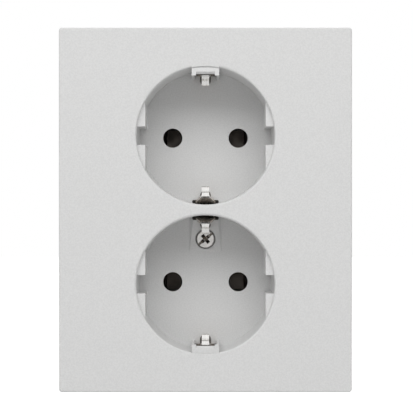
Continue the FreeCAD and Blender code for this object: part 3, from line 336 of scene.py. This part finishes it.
MATERIALS = {
    "cover_plastic": cover_plastic(),
    "housing_plastic": moulded_plastic("housing_plastic", (0.036, 0.037, 0.040), 0.42, (1, 1, 0.3)),
    "rear_plastic": moulded_plastic("rear_plastic", (0.30, 0.31, 0.32), 0.46, (1, 0.3, 1)),
    "lever_plastic": moulded_plastic("lever_plastic", (0.72, 0.26, 0.06), 0.34, (1, 0.3, 1)),
    "zinc_steel": zinc_steel(),
    "nickel_strip": nickel_strip(),
    "nickel_screw": nickel_screw(),
    "spring_steel": spring_steel(),
    "brass": rolled_metal("brass", (0.78, 0.57, 0.27), 0.28),
    # The earth bar's dark steel colour is painted shade for the dark slots it shows through.
    "bar_steel": rolled_metal("bar_steel", (0.20, 0.185, 0.17), 0.40),
    # The contacts' dark bronze colour is painted shade for the deep pin holes.
    "contact_bronze": rolled_metal("contact_bronze", (0.30, 0.265, 0.235), 0.46),
}


def dress_nodes():
    """Each CAD node gets the material of its slot."""
    for part in frame["record"]["subparts"]:
        piece = frame["nodes"][part["node"]]
        piece.data.materials.clear()
        piece.data.materials.append(MATERIALS[part["material_slot"]])


def claw_screw_thread(side):
    """The fine thread on a claw screw's shank, as one helical ridge that grows and fades out.

    The ridge is a row of triangles along the helix, each joined to the one before it.
    """
    name = "claw_screw_" + side
    low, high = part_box(name)
    centre_x = (low[0] + high[0]) / 2
    turns = (high[1] - THREAD_END_GAP - THREAD_START_Y) / THREAD_PITCH
    count = int(turns * THREAD_STEPS)
    half = THREAD_PITCH * THREAD_HALF_SHARE
    root = THREAD_RADIUS - THREAD_DEPTH
    vertices, faces = [], []
    for step in range(count + 1):
        angle = 2 * math.pi * step / THREAD_STEPS
        y = THREAD_START_Y + THREAD_PITCH * step / THREAD_STEPS
        grown = min(1, step / THREAD_STEPS, (count - step) / THREAD_STEPS)
        crest = root + THREAD_DEPTH * grown
        for offset, radius in ((-half, root), (0, crest), (half, root)):
            x = centre_x + radius * math.cos(angle)
            vertices.append((x, y + offset, radius * math.sin(angle)))
        if step:
            base = 3 * step
            for a, b in ((0, 1), (1, 2), (2, 0)):
                faces.append((base + a - 3, base + b - 3, base + b, base + a))
    faces.append((0, 2, 1))
    faces.append((3 * count, 3 * count + 1, 3 * count + 2))
    mesh = bpy.data.meshes.new(name + "_thread")
    mesh.from_pydata(vertices, [], faces)
    mesh.update()
    piece = bpy.data.objects.new(name + "_thread", mesh)
    bpy.context.collection.objects.link(piece)
    mesh.materials.append(MATERIALS["zinc_steel"])
    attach(piece, name)


def bending_spring(circuit):
    """A clamp spring as its own copy of the mesh on the insert, in place of the hidden CAD node."""
    name = circuit + "_clamp_spring"
    piece = bpy.data.objects.new(name + "_bending", frame["nodes"][name].data.copy())
    bpy.context.collection.objects.link(piece)
    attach(piece, "insert")
    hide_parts(name)
    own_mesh(piece)


def floor_material():
    """Pale and diffuse, with a glow for the camera alone that grows to white further out."""
    material = bpy.data.materials.new("floor")
    material.use_nodes = True
    tree = material.node_tree
    tree.nodes.clear()
    out = tree.nodes.new("ShaderNodeOutputMaterial")
    diffuse = tree.nodes.new("ShaderNodeBsdfDiffuse")
    diffuse.inputs["Color"].default_value = (FLOOR_COLOUR, FLOOR_COLOUR, FLOOR_COLOUR, 1)
    glow = tree.nodes.new("ShaderNodeEmission")
    place = tree.nodes.new("ShaderNodeTexCoord")
    reach = tree.nodes.new("ShaderNodeVectorMath")
    reach.operation = "LENGTH"
    tree.links.new(place.outputs["Object"], reach.inputs[0])
    fade = tree.nodes.new("ShaderNodeMapRange")
    fade.inputs["From Min"].default_value = FLOOR_GLOW_START
    fade.inputs["From Max"].default_value = FLOOR_GLOW_END
    fade.inputs["To Min"].default_value = FLOOR_GLOW_NEAR
    fade.inputs["To Max"].default_value = FLOOR_GLOW_FAR
    tree.links.new(reach.outputs["Value"], fade.inputs["Value"])
    tree.links.new(fade.outputs["Result"], glow.inputs["Strength"])
    dark = tree.nodes.new("ShaderNodeEmission")
    dark.inputs["Strength"].default_value = 0.0
    seen = tree.nodes.new("ShaderNodeMixShader")
    path = tree.nodes.new("ShaderNodeLightPath")
    tree.links.new(path.outputs["Is Camera Ray"], seen.inputs[0])
    tree.links.new(dark.outputs[0], seen.inputs[1])
    tree.links.new(glow.outputs[0], seen.inputs[2])
    added = tree.nodes.new("ShaderNodeAddShader")
    tree.links.new(diffuse.outputs[0], added.inputs[0])
    tree.links.new(seen.outputs[0], added.inputs[1])
    tree.links.new(added.outputs[0], out.inputs["Surface"])
    return material


def floor():
    """A pale floor that renders white and keeps the object's shadow."""
    z = cad_box[0][2] - FLOOR_DROP
    corners = [(-FLOOR_HALF, -FLOOR_HALF, z), (FLOOR_HALF, -FLOOR_HALF, z),
               (FLOOR_HALF, FLOOR_HALF, z), (-FLOOR_HALF, FLOOR_HALF, z)]
    mesh = bpy.data.meshes.new("floor")
    mesh.from_pydata(corners, [], [(0, 1, 2, 3)])
    mesh.materials.append(floor_material())
    plane = bpy.data.objects.new("floor", mesh)
    bpy.context.collection.objects.link(plane)


def world():
    """White where it is seen or mirrored, and a plain ambient light elsewhere."""
    made = bpy.data.worlds.new("world")
    bpy.context.scene.world = made
    made.use_nodes = True
    tree = made.node_tree
    tree.nodes.clear()
    out = tree.nodes.new("ShaderNodeOutputWorld")
    ambient = tree.nodes.new("ShaderNodeBackground")
    ambient.inputs["Color"].default_value = (1, 1, 1, 1)
    ambient.inputs["Strength"].default_value = AMBIENT
    white = tree.nodes.new("ShaderNodeBackground")
    white.inputs["Color"].default_value = (1, 1, 1, 1)
    white.inputs["Strength"].default_value = 1.0
    mix = tree.nodes.new("ShaderNodeMixShader")
    path = tree.nodes.new("ShaderNodeLightPath")
    seen = tree.nodes.new("ShaderNodeMath")
    seen.operation = "MAXIMUM"
    tree.links.new(path.outputs["Is Camera Ray"], seen.inputs[0])
    tree.links.new(path.outputs["Is Glossy Ray"], seen.inputs[1])
    tree.links.new(seen.outputs[0], mix.inputs[0])
    tree.links.new(ambient.outputs[0], mix.inputs[1])
    tree.links.new(white.outputs[0], mix.inputs[2])
    tree.links.new(mix.outputs[0], out.inputs["Surface"])


def lamp(name, place, size, power, mirrored=True):
    """A soft panel of light, size wide and tall, that points at the origin."""
    data = bpy.data.lights.new(name, "AREA")
    data.shape = "RECTANGLE"
    data.size, data.size_y = size
    data.energy = power
    light = bpy.data.objects.new(name, data)
    bpy.context.collection.objects.link(light)
    light.visible_glossy = mirrored
    light.location = place
    light.rotation_euler = (-Vector(place)).to_track_quat("-Z", "Y").to_euler()


def camera():
    """The photograph's view, with its small shift."""
    data = bpy.data.cameras.new("camera")
    data.sensor_width = SENSOR
    data.lens = SENSOR * CAMERA_DISTANCE / FIELD_AT_FACE
    data.shift_x = (IMAGE_SIZE / 2 - CENTRE_PX[0]) / IMAGE_SIZE
    data.shift_y = (CENTRE_PX[1] - IMAGE_SIZE / 2) / IMAGE_SIZE
    data.clip_start = CLIP_NEAR
    data.clip_end = CLIP_FAR
    eye = bpy.data.objects.new("camera", data)
    bpy.context.collection.objects.link(eye)
    eye.location = (0, face_y - CAMERA_DISTANCE, 0)
    eye.rotation_euler = (math.radians(90), 0, 0)
    bpy.context.scene.camera = eye


dress_nodes()
for side in ("left", "right"):
    claw_screw_thread(side)
for circuit in ("live", "earth", "neutral"):
    bending_spring(circuit)
floor()
world()
lamp("key", KEY_PLACE, KEY_SIZE, KEY_POWER, mirrored=False)
lamp("fill", FILL_PLACE, FILL_SIZE, FILL_POWER, mirrored=False)
lamp("back", BACK_PLACE, BACK_SIZE, BACK_POWER)
camera()
bpy.context.scene.view_settings.view_transform = "Standard"
